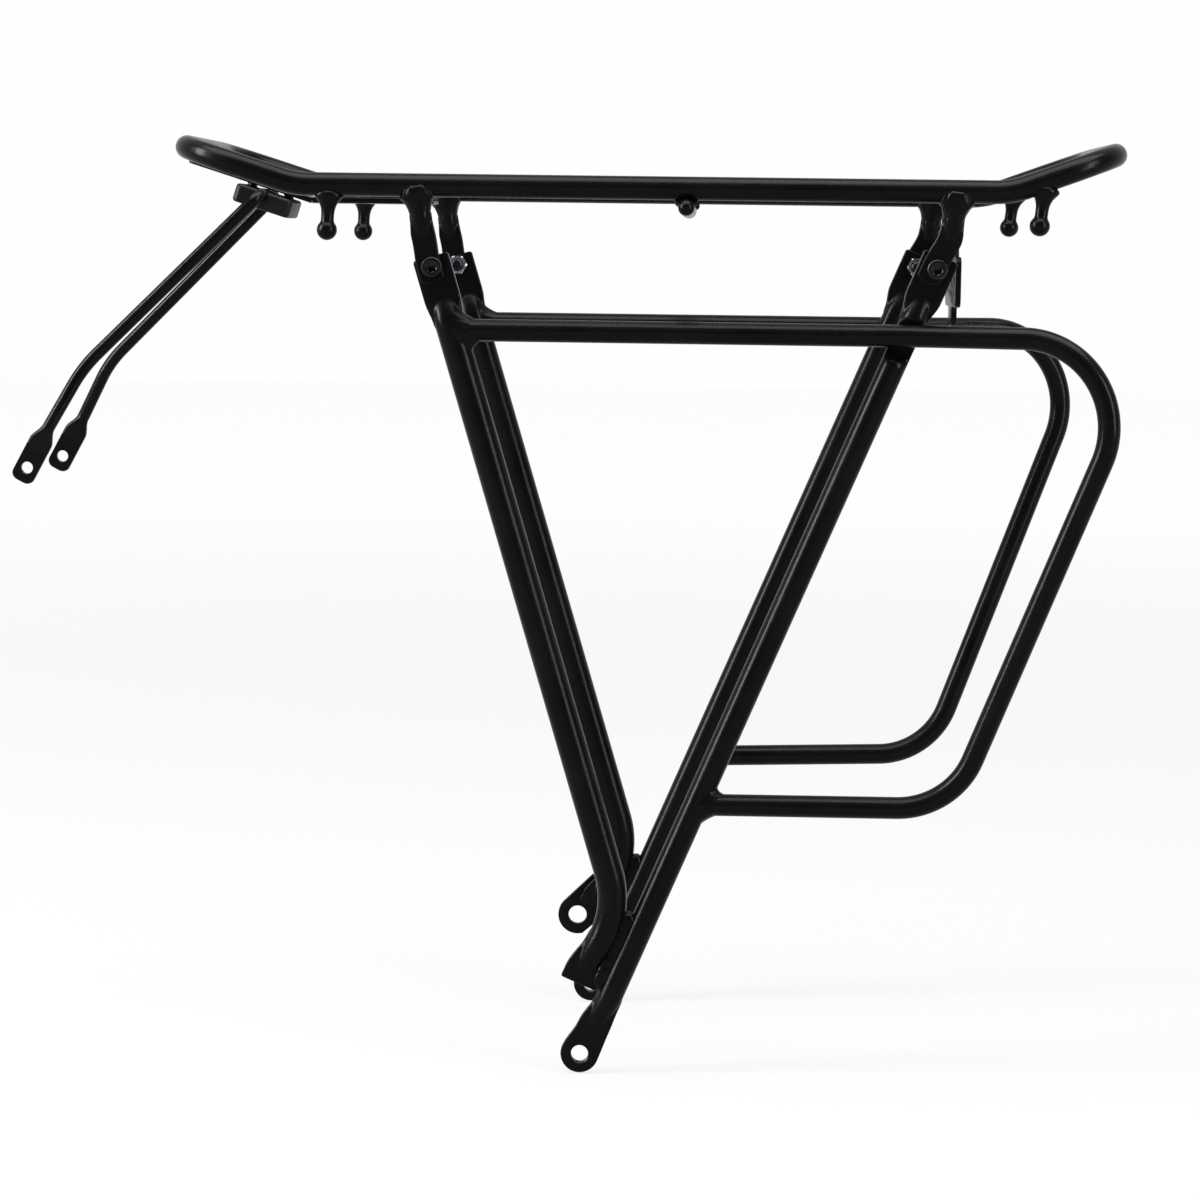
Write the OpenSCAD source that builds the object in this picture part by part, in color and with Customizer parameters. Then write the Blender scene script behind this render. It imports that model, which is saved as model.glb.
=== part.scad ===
// Bicycle rear rack: a closed tubular deck on two side frames, with two
// front stays that slide and swing in a clamp under the nose of the deck.
// +X points rearward, +Y to the bicycle's right, +Z up. The origin is the
// middle of the line through the two foot eyelets.

/* [Deck] */
// Outside diameter of the deck tube
deck_tube_d = 10; // [9:0.5:11]
// Distance between the centre lines of the two rails
rail_spacing = 150; // [146:1:154]
// Height of the deck's centre line over the foot eyelets
deck_h = 374; // [370:1:380]
// Where the rails bend up at the front
front_bend_x = -125; // [-128:1:-122]
// Where the rails bend up at the rear
rear_bend_x = 178; // [174:1:182]
// Centre line of the front cross end
front_end_x = -174.6; // [-178:0.2:-172]
// Centre line of the rear cross end
rear_end_x = 223.7; // [220:0.1:228]
// Upward angle of the front end
front_rise = 17.5; // [16:0.5:19]
// Upward angle of the rear end
rear_rise = 20; // [18:0.5:22]
// Radius of the four plan corners, on the centre line
corner_r = 27; // [24:1:30]
// Radius of the upward bends, on the centre line
rise_bend_r = 40; // [30:1:45]
// Diameter of the cross rungs
rung_d = 7; // [6:0.5:8]
// Place of the front, middle and rear rungs
rung_x = [-73, 41, 163.5];

/* [Elastic cord pegs] */
// Diameter of the ball end
ball_d = 8.6; // [8:0.2:10]
// Diameter of the neck
neck_d = 5; // [4:0.2:6]
// Distance from the rail's centre line to the ball's centre
peg_drop = 19.3; // [18:0.1:21]
// Place of the front and rear pegs along the rails
peg_x = [-110.3, 192.2];
// Backward lean of the front and rear pegs
peg_lean = [3, 7];

/* [Side frames] */
// Distance from the middle plane to the legs' centre lines
leg_y = 70.5; // [70:0.1:71]
// Outside diameter of the rear leg
rear_leg_d = 11; // [10:0.5:11.5]
// Outside diameter of the front leg
front_leg_d = 12.7; // [12:0.1:13]
// Backward lean of the rear leg
rear_lean = 23; // [22.8:0.1:23.2]
// Forward lean of the front leg
front_lean = 16.7; // [16.5:0.1:16.9]
// Place of the front upper bolt
front_bolt = [-66.3, 339.7];
// Place of the rear upper bolt
rear_bolt = [147, 341.2];
// Outside diameter of the pannier hoop
hoop_d = 9.5; // [9:0.1:9.8]
// Height of the hoop's upper rail
hoop_top_z = 313.1; // [311:0.1:315]
// Height of the hoop's lower rail at the rear leg
hoop_low_z = 110.2; // [108:0.1:113]
// Width of a leg's flattened end
flat_w = 15.6; // [15:0.1:16]
// Thickness of every flattened end
flat_t = 4; // [3.8:0.1:4.2]
// Diameter of the foot eyelets
foot_hole_d = 7.5; // [6.5:0.1:8]

/* [Stays and clamp] */
// Diameter of the stay rods
stay_d = 5.6; // [5.2:0.1:5.8]
// Distance from the middle plane to a stay at the clamp
stay_top_y = 24.2; // [24:0.1:27]
// Distance from the middle plane to a stay's eye
stay_eye_y = 40.8; // [36:0.1:42]
// Distance from the middle plane to a stay's kink
stay_kink_y = 33; // [30:0.5:36]
// Kink of a stay, from its pivot, along X and Z
stay_kink = [-76.8, -76.6];
// Eye of a stay, from its pivot, along X and Z
stay_eye = [-100, -120.4];
// Diameter of the eye's hole
stay_hole_d = 5.2; // [5:0.1:5.5]
// Length, width and height of the clamp block
clamp_size = [26.2, 36, 8.2];
// Place of the clamp block's middle along the slope
clamp_u = 18.5; // [17:0.5:20]
// How far the clamp slides back and forward
clamp_travel = [5, 12];
// Width and thickness of the slotted tongue
tongue_size = [30, 2.5];

/* [Fasteners] */
// Screw diameter
screw_d = 5; // [5:0.5:5]
// Clearance hole for a screw
clear_d = 5.4; // [5.3:0.1:5.6]
// Diameter and height of a socket head
head_size = [8.5, 5];
// Distance across the flats and height of a nut
nut_size = [8, 4];

/* [Rear light plate] */
// Width, height and thickness of the plate's wide part
light_size = [66, 22, 2.5];
// Distance between the two light holes
light_pitch = 50; // [48:1:52]
// Width of the plate's hanger and of its lower tongue
light_neck_w = [32, 20];

/* [Hidden] */
$fn = 64;
black = [0.06, 0.06, 0.07];
dark = [0.16, 0.16, 0.17];
zinc = [0.75, 0.76, 0.78];

rail_y = rail_spacing / 2;
rail_r = deck_tube_d / 2;
front_end_z = deck_h + (front_bend_x - front_end_x) * tan(front_rise);
rear_end_z = deck_h + (rear_end_x - rear_bend_x) * tan(rear_rise);
// The middle rung lies under the rails, the other two are between them
low_rung_z = deck_h - rail_r - rung_d / 2 + 0.4;
rung_z = deck_h - 0.6;

// Legs: the rear leg's centre line, and the line of the front leg's foot
hull_fn = 32;
blend = 12;
rear_leg_x0 = rear_bolt[0] - rear_bolt[1] * tan(rear_lean);
foot_gap = 13.2;
front_foot_x0 = rear_leg_x0 - foot_gap / cos(rear_lean);
front_leg_x0 = front_bolt[0] + front_bolt[1] * tan(front_lean);
knee_z = (front_leg_x0 - front_foot_x0) / (tan(rear_lean) + tan(front_lean));
knee = [front_foot_x0 + knee_z * tan(rear_lean), -leg_y, knee_z];
// Length of the front leg below its knee, and of its flat end: the right
// one stops short of the lower tab's hole
left_foot = [38.7, 9];
right_foot = [32.5, 6];
stub_d = 9;
stub_out = 5;
flat_out_y = leg_y + flat_t / 2;
lower_hole = [-7, 32.4];
lower_hole_d = 8.6;

// Pannier hoop: centre line points on the left side
hoop_front_x = front_bolt[0] + (front_bolt[1] - hoop_top_z) * tan(front_lean);
hoop_path = [
    [hoop_front_x, -leg_y - 1, hoop_top_z],
    [138, -leg_y - 5, hoop_top_z],
    [235.3, -leg_y - 37, hoop_top_z],
    [158.2, -leg_y - 9, hoop_low_z + 1.6],
    [rear_leg_x0 + hoop_low_z * tan(rear_lean), -leg_y, hoop_low_z]
];
hoop_bends = [0, 60, 37, 35, 0];

// Clamp and stays, in a frame along the sloping nose of the deck:
// u runs forward and up from the bend, w is square to it
stay_r = stay_d / 2;
run_fit = 0.05;
pivot_u = clamp_u + 0.8;
pivot_w = -10.3;
clamp_top_w = -8.7;
tongue_top_w = -4.7;
tongue_low_w = tongue_top_w - tongue_size[1];
clamp_screw_u = [clamp_u - 8.5, clamp_u + 8.5];
pivot = [
    front_bend_x - pivot_u * cos(front_rise) + pivot_w * sin(front_rise),
    0,
    deck_h + pivot_u * sin(front_rise) + pivot_w * cos(front_rise)
];

function unit(v) = v / norm(v);

// Angles for rotate() that turn the axes to x, y and z
function frame_angles(x, y, z) =
    abs(x.z) > 0.999999
        ? [0, -90 * sign(x.z), atan2(-y.x, y.y)]
        : [atan2(y.z, z.z), atan2(-x.z, norm([y.z, z.z])), atan2(x.y, x.x)];

// A round rod from one point to another
module rod(a, b, r) {
    d = b - a;
    translate(a)
        rotate([0, atan2(norm([d.x, d.y]), d.z), atan2(d.y, d.x)])
            cylinder(r = r, h = norm(d));
}

// A bend is a hair thicker than its straights, which lap into it
lap = 0.5;
lap_r = 0.05;

// The bend of a rod at corner b, on the way from a to c
module elbow(a, b, c, bend_r, r) {
    u = unit(b - a);
    v = unit(c - b);
    turn = acos(u * v);
    n = unit(cross(u, v));
    inward = cross(n, u);
    start = b - u * bend_r * tan(turn / 2);
    translate(start + inward * bend_r)
        rotate(frame_angles(-inward, u, n))
            rotate_extrude(angle = turn)
                translate([bend_r, 0])
                    circle(r = r + lap_r);
}

// Length of straight that the bend at b takes away
function bend_cut(a, b, c, bend_r) =
    bend_r * tan(acos(unit(b - a) * unit(c - b)) / 2);

// A round rod bent along the points, which may close into a loop
module bent_rod(points, bends, r, closed = false) {
    n = len(points);
    legs = closed ? n : n - 1;
    cuts = [for (i = [0:n - 1])
        bends[i] == 0 ? 0
            : bend_cut(points[(i + n - 1) % n], points[i], points[(i + 1) % n], bends[i])];
    for (i = [0:legs - 1]) {
        a = points[i];
        b = points[(i + 1) % n];
        from = cuts[i] == 0 ? 0 : cuts[i] - lap;
        to = cuts[(i + 1) % n] == 0 ? 0 : cuts[(i + 1) % n] - lap;
        rod(a + unit(b - a) * from, b - unit(b - a) * to, r);
    }
    for (i = [0:n - 1])
        if (bends[i] > 0)
            elbow(points[(i + n - 1) % n], points[i], points[(i + 1) % n], bends[i], r);
}

// A round hole or pin along Y at a place in the side plane
module across(place, d, y0, y1) {
    translate([place[0], y0, place[1]])
        rotate([-90, 0, 0])
            cylinder(d = d, h = y1 - y0);
}

module right_side() {
    mirror([0, 1, 0]) children();
}

// ---------- Deck ----------

module deck_loop() {
    half = [
        [rear_end_x, -rail_y, rear_end_z],
        [rear_bend_x, -rail_y, deck_h],
        [front_bend_x, -rail_y, deck_h],
        [front_end_x, -rail_y, front_end_z]
    ];
    other = [for (i = [3:-1:0]) [half[i].x, rail_y, half[i].z]];
    half_bends = [corner_r, rise_bend_r, rise_bend_r, corner_r];
    other_bends = [for (i = [3:-1:0]) half_bends[i]];
    color(black)
        bent_rod(concat(half, other), concat(half_bends, other_bends), rail_r, closed = true);
}

// The straight rail over a peg, stub or rung, for fitting its end
module rail_fit(rise_at_rear = false) {
    for (side = [-1, 1]) {
        a = rise_at_rear ? [rear_bend_x, side * rail_y, deck_h] : [front_bend_x, side * rail_y, deck_h];
        b = rise_at_rear ? [rear_end_x, side * rail_y, rear_end_z] : [rear_bend_x, side * rail_y, deck_h];
        rod(a, b, rail_r);
    }
}

// A rung butted between the rails
module inner_rung(x) {
    color(black)
        difference() {
            rod([x, -rail_y, rung_z], [x, rail_y, rung_z], rung_d / 2);
            rail_fit();
        }
}

module front_rung() { inner_rung(rung_x[0]); }

// The middle rung runs under both rails and ends in two domes
module middle_rung() {
    end_y = rail_y + 5;
    color(black)
        difference() {
            union() {
                rod([rung_x[1], -end_y, low_rung_z], [rung_x[1], end_y, low_rung_z], rung_d / 2);
                for (side = [-1, 1])
                    translate([rung_x[1], side * end_y, low_rung_z]) sphere(d = rung_d);
            }
            rail_fit();
        }
}

module rear_rung() { inner_rung(rung_x[2]); }

// A peg for an elastic cord under the left rail
module peg(i) {
    x = peg_x[i];
    at_rear = i == 1;
    z = at_rear ? deck_h + (x - rear_bend_x) * tan(rear_rise) : deck_h;
    flare_from = 2.5;
    flare_h = 7;
    color(black)
        difference() {
            translate([x, -rail_y, z])
                rotate([0, 180 - peg_lean[i], 0]) {
                    translate([0, 0, flare_from]) cylinder(d = neck_d, h = peg_drop - flare_from);
                    translate([0, 0, flare_from]) cylinder(d1 = 8.2, d2 = neck_d, h = flare_h);
                    translate([0, 0, peg_drop]) sphere(d = ball_d);
                }
            rail_fit(at_rear);
        }
}

module left_front_peg() { peg(0); }

module left_rear_peg() { peg(1); }

module right_front_peg() { right_side() peg(0); }

module right_rear_peg() { right_side() peg(1); }

// A stub under the left rail: a tube flattened to a tab for the upper bolt
module stub(bolt, lean, top_lean, top_z) {
    flat_len = 9.5;
    tab_w = 10.4;
    tab_shift = -1.4;
    tab_low = -2;
    tube_y = -flat_out_y - flat_t / 2 - 0.5;
    bend_x = bolt[0] + (flat_len + stub_out) * sin(lean);
    bend_z = bolt[1] + (flat_len + stub_out) * cos(lean);
    top_x = bend_x + (top_z - bend_z) * tan(top_lean);
    color(black)
        difference() {
            union() {
                translate([bolt[0], -flat_out_y - flat_t / 2, bolt[1]])
                    rotate([0, lean, 0]) {
                        translate([tab_shift, 0, tab_low])
                            rotate([90, 0, 0]) cylinder(d = tab_w, h = flat_t, center = true);
                        translate([tab_shift - tab_w / 2, -flat_t / 2, tab_low])
                            cube([tab_w, flat_t, flat_len - tab_low]);
                        hull() {
                            translate([tab_shift - tab_w / 2, -flat_t / 2, flat_len - 0.5])
                                cube([tab_w, flat_t, 0.5]);
                            translate([0, -0.5, flat_len + stub_out])
                                cylinder(d = stub_d + 2 * lap_r, h = 0.5, $fn = hull_fn);
                        }
                    }
                rod([bend_x, tube_y, bend_z], [top_x, tube_y, top_z], stub_d / 2);
                translate([bend_x, tube_y, bend_z]) sphere(d = stub_d + 2 * lap_r);
                translate([top_x, tube_y, top_z]) sphere(d = stub_d + 2 * lap_r);
            }
            across(bolt, clear_d, -rail_y - 20, -rail_y + 20);
            rail_fit();
        }
}

module left_front_stub() { stub(front_bolt, -front_lean, -8, deck_h - 6.5); }

module left_rear_stub() { stub(rear_bolt, rear_lean, 7, deck_h - 8); }

module right_front_stub() { right_side() left_front_stub(); }

module right_rear_stub() { right_side() left_rear_stub(); }

// ---------- Side frames ----------

// A flattened tube top: flat above, blending down into a round tube.
// The origin is at the bolt hole, +Z along the tube.
module flat_top(tube_d, above) {
    below = 12;
    translate([-flat_w / 2, -flat_t / 2, -below])
        cube([flat_w, flat_t, below + above]);
    hull() {
        translate([-flat_w / 2, -flat_t / 2, -below])
            cube([flat_w, flat_t, 0.5]);
        translate([0, 0, -below - blend])
            cylinder(d = tube_d + 2 * lap_r, h = 0.5, $fn = hull_fn);
    }
}

module front_leg(foot) {
    top_gap = 12 + blend - 0.5;
    foot_len = foot[0];
    foot_flat = foot[1];
    foot_end = knee - foot_len * [sin(rear_lean), 0, cos(rear_lean)];
    foot_blend = 10;
    foot_w = 16.8;
    foot_shift = -1.6;
    foot_round = foot_len - foot_flat - foot_blend;
    tube_top = [front_bolt[0] + top_gap * sin(front_lean), -leg_y, front_bolt[1] - top_gap * cos(front_lean)];
    tube_foot = knee - foot_round * [sin(rear_lean), 0, cos(rear_lean)];
    color(black)
        difference() {
            union() {
                translate([front_bolt[0], -leg_y, front_bolt[1]])
                    rotate([0, -front_lean, 0]) flat_top(front_leg_d, 4.5);
                bent_rod([tube_top, knee, tube_foot], [0, 40, 0], front_leg_d / 2);
                translate(foot_end) rotate([0, rear_lean, 0]) {
                    translate([foot_shift - foot_w / 2, -flat_t / 2, 0])
                        cube([foot_w, flat_t, foot_flat]);
                    hull() {
                        translate([foot_shift - foot_w / 2, -flat_t / 2, foot_flat - 0.5])
                            cube([foot_w, flat_t, 0.5]);
                        translate([0, 0, foot_flat + foot_blend])
                            cylinder(d = front_leg_d + 2 * lap_r, h = 0.5, $fn = hull_fn);
                    }
                }
            }
            across(front_bolt, clear_d, -leg_y - 10, -leg_y + 10);
            rear_leg_fit();
        }
}

// The rear leg's round tube, for fitting its neighbours to it
module rear_leg_fit() {
    reach = rear_bolt[1] / cos(rear_lean);
    translate([rear_leg_x0, -leg_y, 0])
        rotate([0, rear_lean, 0]) cylinder(d = rear_leg_d, h = reach - 12 - blend);
}

module rear_leg() {
    foot_r = 8.3;
    foot_x = -rear_leg_x0 * cos(rear_lean);
    foot_flat = 12;
    foot_blend = 15;
    reach = rear_bolt[1] / cos(rear_lean);
    tube_from = foot_flat + foot_blend;
    color(black)
        difference() {
            union() {
                across([0, 0], 2 * foot_r, -leg_y - flat_t / 2, -leg_y + flat_t / 2);
                translate([rear_leg_x0, -leg_y, 0]) rotate([0, rear_lean, 0]) {
                    rotate([90, 0, 0])
                        linear_extrude(height = flat_t, center = true)
                            polygon([
                                [foot_x - foot_r, -1],
                                [foot_x + foot_r, -1],
                                [6, foot_flat],
                                [-8.2, foot_flat]
                            ]);
                    hull() {
                        translate([-8.2, -flat_t / 2, foot_flat - 0.5])
                            cube([14.2, flat_t, 0.5]);
                        translate([0, 0, tube_from])
                            cylinder(d = rear_leg_d + 2 * lap_r, h = 0.5, $fn = hull_fn);
                    }
                    translate([0, 0, tube_from])
                        cylinder(d = rear_leg_d, h = reach - 12 - blend - tube_from + 0.5);
                    translate([0, 0, reach]) flat_top(rear_leg_d, 6);
                }
            }
            across([0, 0], foot_hole_d, -leg_y - 10, -leg_y + 10);
            across(rear_bolt, clear_d, -leg_y - 10, -leg_y + 10);
            hoop_rod();
        }
}

module hoop_rod() { bent_rod(hoop_path, hoop_bends, hoop_d / 2); }

module pannier_hoop() {
    low_end = hoop_path[4];
    color(black)
        difference() {
            hoop_rod();
            rod([front_leg_x0, -leg_y, 0],
                [front_leg_x0 - deck_h * tan(front_lean), -leg_y, deck_h], front_leg_d / 2);
            rod([rear_leg_x0, -leg_y, 0],
                [low_end.x + 40 * tan(rear_lean), -leg_y, low_end.z + 40], rear_leg_d / 2);
        }
}

module left_front_leg() { front_leg(left_foot); }

module left_rear_leg() { rear_leg(); }

module left_pannier_hoop() { pannier_hoop(); }

module right_front_leg() { right_side() front_leg(right_foot); }

module right_rear_leg() { right_side() rear_leg(); }

module right_pannier_hoop() { right_side() pannier_hoop(); }

// A drilled tab welded to the foot of the right front leg
module lower_tab() {
    tab_r = 9.2;
    tab_t = 3;
    y0 = leg_y + flat_t / 2;
    color(black)
        difference() {
            union() {
                across(lower_hole, 2 * tab_r, y0, y0 + tab_t);
                translate([0, y0 + tab_t, 0])
                    rotate([90, 0, 0])
                        linear_extrude(height = tab_t)
                            polygon([
                                lower_hole + tab_r * [-sin(45), cos(45)],
                                [0, 52],
                                [6, 46],
                                [3, 30],
                                lower_hole + tab_r * [sin(20), -cos(20)]
                            ]);
            }
            across(lower_hole, lower_hole_d, y0 - 1, y0 + tab_t + 1);
            right_front_leg();
        }
}

// ---------- Fasteners ----------

// A socket head screw along +Z with its head below the origin
module socket_screw(length) {
    difference() {
        union() {
            translate([0, 0, -head_size[1]]) cylinder(d = head_size[0], h = head_size[1]);
            cylinder(d = screw_d, h = length);
        }
        translate([0, 0, -head_size[1] - 1]) cylinder(d = 4.6, h = 3.6, $fn = 6);
    }
}

module leg_screws() {
    color(dark)
        for (side = [0, 1], bolt = [front_bolt, rear_bolt])
            mirror([0, side, 0])
                translate([bolt[0], -flat_out_y - flat_t, bolt[1]])
                    rotate([-90, 0, 0]) socket_screw(14);
}

module leg_nuts() {
    color(zinc)
        for (side = [0, 1], bolt = [front_bolt, rear_bolt])
            mirror([0, side, 0])
                translate([bolt[0], -leg_y + flat_t / 2, bolt[1]])
                    rotate([-90, 0, 0])
                        difference() {
                            cylinder(d = nut_size[0] / cos(30), h = nut_size[1], $fn = 6);
                            translate([0, 0, -1]) cylinder(d = screw_d, h = nut_size[1] + 2);
                        }
}

// ---------- Rear light plate ----------

module light_plate() {
    t = light_size[2];
    x0 = rung_x[2] - rung_d / 2 - t + 0.5;
    wide_z = 324.5;
    low_z = 316;
    hang_z = rung_z + 2;
    corner = 4;
    color(black)
        difference() {
            union() {
                translate([x0, -light_neck_w[0] / 2, wide_z + 4])
                    cube([t, light_neck_w[0], hang_z - wide_z - 4]);
                translate([x0, -light_neck_w[1] / 2, low_z])
                    cube([t, light_neck_w[1], wide_z - low_z + 4]);
                translate([x0, -light_size[0] / 2, wide_z + corner])
                    cube([t, light_size[0], light_size[1] - 2 * corner]);
                translate([x0, -light_size[0] / 2 + corner, wide_z])
                    cube([t, light_size[0] - 2 * corner, light_size[1]]);
                for (y = [-1, 1], z = [corner, light_size[1] - corner])
                    translate([x0, y * (light_size[0] / 2 - corner), wide_z + z])
                        rotate([0, 90, 0]) cylinder(r = corner, h = t);
            }
            for (y = [-1, 1])
                translate([x0 - 1, y * light_pitch / 2, wide_z + light_size[1] / 2])
                    rotate([0, 90, 0]) cylinder(d = 5.2, h = t + 2);
            rod([rung_x[2], -40, rung_z], [rung_x[2], 40, rung_z], rung_d / 2);
        }
}

// ---------- Stays, tongue and clamp ----------

// Moves to the sloping nose: local X forward and up, local Z square to it
module on_slope() {
    translate([front_bend_x, 0, deck_h]) rotate([0, -front_rise, 180]) children();
}

// A point in the side plane, from its place along and over the slope
function slope_point(u, w) = [
    front_bend_x - u * cos(front_rise) + w * sin(front_rise),
    deck_h + u * sin(front_rise) + w * cos(front_rise)
];

module stay_tongue() {
    w = tongue_size[0];
    slot_d = clear_d;
    slot_from = clamp_screw_u[0] - clamp_travel[0];
    slot_to = clamp_screw_u[1] + clamp_travel[1];
    nose_u = (front_bend_x - front_end_x) / cos(front_rise) + 4;
    knee_low = slope_point(1, tongue_low_w);
    knee_top = [knee_low[0] + tongue_size[1] * tan(front_rise / 2), knee_low[1] + tongue_size[1]];
    rear_x = rung_x[0] + 2;
    color(black)
        difference() {
            translate([0, w / 2, 0])
                rotate([90, 0, 0])
                    linear_extrude(height = w)
                        polygon([
                            slope_point(nose_u, tongue_low_w),
                            knee_low,
                            [rear_x, knee_low[1]],
                            [rear_x, knee_top[1]],
                            knee_top,
                            slope_point(nose_u, tongue_top_w)
                        ]);
            on_slope() {
                for (u = [slot_from, slot_to])
                    translate([u, 0, tongue_low_w - 1]) cylinder(d = slot_d, h = 6);
                translate([slot_from, -slot_d / 2, tongue_low_w - 1])
                    cube([slot_to - slot_from, slot_d, 6]);
            }
            rod([front_end_x, -40, front_end_z], [front_end_x, 40, front_end_z], rail_r);
            rod([rung_x[0], -40, rung_z], [rung_x[0], 40, rung_z], rung_d / 2);
        }
}

module stay_clamp() {
    color(dark)
        on_slope()
            difference() {
                translate([clamp_u - clamp_size[0] / 2, -clamp_size[1] / 2, clamp_top_w - clamp_size[2]])
                    cube(clamp_size);
                translate([pivot_u, -clamp_size[1], pivot_w])
                    rotate([-90, 0, 0]) cylinder(r = stay_r + run_fit, h = 2 * clamp_size[1]);
                for (u = clamp_screw_u)
                    translate([u, 0, clamp_top_w - clamp_size[2] - 1])
                        cylinder(d = screw_d, h = clamp_size[2] + 2);
            }
}

module clamp_screws() {
    head_gap = 0.15;
    head_h = 3;
    color(zinc)
        on_slope()
            for (u = clamp_screw_u)
                translate([u, 0, 0])
                    difference() {
                        union() {
                            translate([0, 0, tongue_top_w + head_gap])
                                cylinder(d = head_size[0], h = head_h);
                            translate([0, 0, clamp_top_w - clamp_size[2] + 0.5])
                                cylinder(d = screw_d, h = clamp_size[2] + 8);
                        }
                        translate([0, 0, tongue_top_w + head_gap + 1])
                            cylinder(d = 3.4, h = 3, $fn = 6);
                    }
}

// The left stay: a rod from the clamp's groove, out, down and forward to
// a flattened eye for the seat stay of the bicycle
module stay() {
    kink_point = pivot + [stay_kink[0], -stay_kink_y, stay_kink[1]];
    eye = pivot + [stay_eye[0], -stay_eye_y, stay_eye[1]];
    eye_lean = atan2(kink_point.x - eye.x, kink_point.z - eye.z);
    paddle_w = 10.4;
    paddle_t = 3;
    paddle_len = 14.5;
    paddle_blend = 6;
    paddle_low = 6.7;
    corner = 3.4;
    rod_end = eye + (paddle_len + paddle_blend) * unit([kink_point.x - eye.x, 0, kink_point.z - eye.z]);
    color(black)
        difference() {
            union() {
                bent_rod([
                    pivot + [0, -2, 0],
                    pivot + [0, -stay_top_y, 0],
                    kink_point,
                    rod_end
                ], [0, 6, 50, 0], stay_r);
                translate(eye) rotate([0, eye_lean, 0]) {
                    translate([-paddle_w / 2, -paddle_t / 2, corner - paddle_low])
                        cube([paddle_w, paddle_t, paddle_len + paddle_low - corner]);
                    translate([corner - paddle_w / 2, -paddle_t / 2, -paddle_low])
                        cube([paddle_w - 2 * corner, paddle_t, 2 * corner]);
                    for (side = [-1, 1])
                        translate([side * (paddle_w / 2 - corner), 0, corner - paddle_low])
                            rotate([90, 0, 0]) cylinder(r = corner, h = paddle_t, center = true);
                    hull() {
                        translate([-paddle_w / 2, -paddle_t / 2, paddle_len - 0.5])
                            cube([paddle_w, paddle_t, 0.5]);
                        translate([0, 0, paddle_len + paddle_blend])
                            cylinder(d = stay_d + 2 * lap_r, h = 0.5, $fn = hull_fn);
                    }
                }
            }
            across([eye.x, eye.z], stay_hole_d, eye.y - 5, eye.y + 5);
        }
}

module left_stay() { stay(); }

module right_stay() { right_side() stay(); }

deck_loop();
front_rung();
middle_rung();
rear_rung();
left_front_peg();
left_rear_peg();
right_front_peg();
right_rear_peg();
left_front_stub();
left_rear_stub();
right_front_stub();
right_rear_stub();
left_front_leg();
left_rear_leg();
left_pannier_hoop();
right_front_leg();
right_rear_leg();
right_pannier_hoop();
lower_tab();
leg_screws();
leg_nuts();
light_plate();
stay_tongue();
stay_clamp();
clamp_screws();
left_stay();
right_stay();
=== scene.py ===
"""Looks of the bicycle rear rack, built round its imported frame.

All shapes are given in millimetres in the frame of the CAD model (+X rearward,
+Y to the bicycle's right, +Z up, origin between the foot eyelets) and are
scaled to metres when the mesh is made.
"""

import math

import bmesh
import bpy
from mathutils import Matrix, Vector, noise


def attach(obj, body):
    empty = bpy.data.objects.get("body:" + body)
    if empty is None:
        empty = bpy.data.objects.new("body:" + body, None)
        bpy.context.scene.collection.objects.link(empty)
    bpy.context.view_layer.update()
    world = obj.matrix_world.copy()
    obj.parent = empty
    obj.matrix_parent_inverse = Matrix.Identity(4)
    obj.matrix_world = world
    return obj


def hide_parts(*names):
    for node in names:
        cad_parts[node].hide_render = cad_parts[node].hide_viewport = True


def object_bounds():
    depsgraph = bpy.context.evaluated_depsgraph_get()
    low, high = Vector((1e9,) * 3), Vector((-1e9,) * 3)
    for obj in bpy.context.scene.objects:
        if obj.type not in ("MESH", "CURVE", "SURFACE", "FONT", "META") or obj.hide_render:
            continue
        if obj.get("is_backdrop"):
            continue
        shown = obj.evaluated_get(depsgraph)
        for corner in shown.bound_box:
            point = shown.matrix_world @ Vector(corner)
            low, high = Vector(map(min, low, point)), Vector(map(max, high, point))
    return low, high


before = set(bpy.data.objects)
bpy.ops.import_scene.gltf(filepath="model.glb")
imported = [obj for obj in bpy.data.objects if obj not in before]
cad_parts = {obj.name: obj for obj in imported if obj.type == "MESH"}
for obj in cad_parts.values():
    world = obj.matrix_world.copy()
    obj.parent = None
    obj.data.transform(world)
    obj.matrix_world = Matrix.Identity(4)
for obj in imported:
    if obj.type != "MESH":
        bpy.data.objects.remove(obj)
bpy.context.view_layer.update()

MM = 0.001
X, Y, Z = Vector((1, 0, 0)), Vector((0, 1, 0)), Vector((0, 0, 1))

# ---------------------------------------------------------------- dimensions

DECK_Z = 374.0
RAIL_Y = 75.0
RAIL_R = 5.0
FRONT_BEND_X, REAR_BEND_X = -125.0, 178.0
FRONT_END_X, REAR_END_X = -174.6, 223.7
FRONT_RISE, REAR_RISE = math.radians(17.5), math.radians(20)
FRONT_END_Z = DECK_Z + (FRONT_BEND_X - FRONT_END_X) * math.tan(FRONT_RISE)
REAR_END_Z = DECK_Z + (REAR_END_X - REAR_BEND_X) * math.tan(REAR_RISE)
CORNER_R, RISE_R = 27.0, 40.0
RUNG_R = 3.5
RUNG_X = (-73.0, 41.0, 163.5)
RUNG_Z = DECK_Z - 0.6
LOW_RUNG_Z = DECK_Z - RAIL_R - RUNG_R + 0.4

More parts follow.
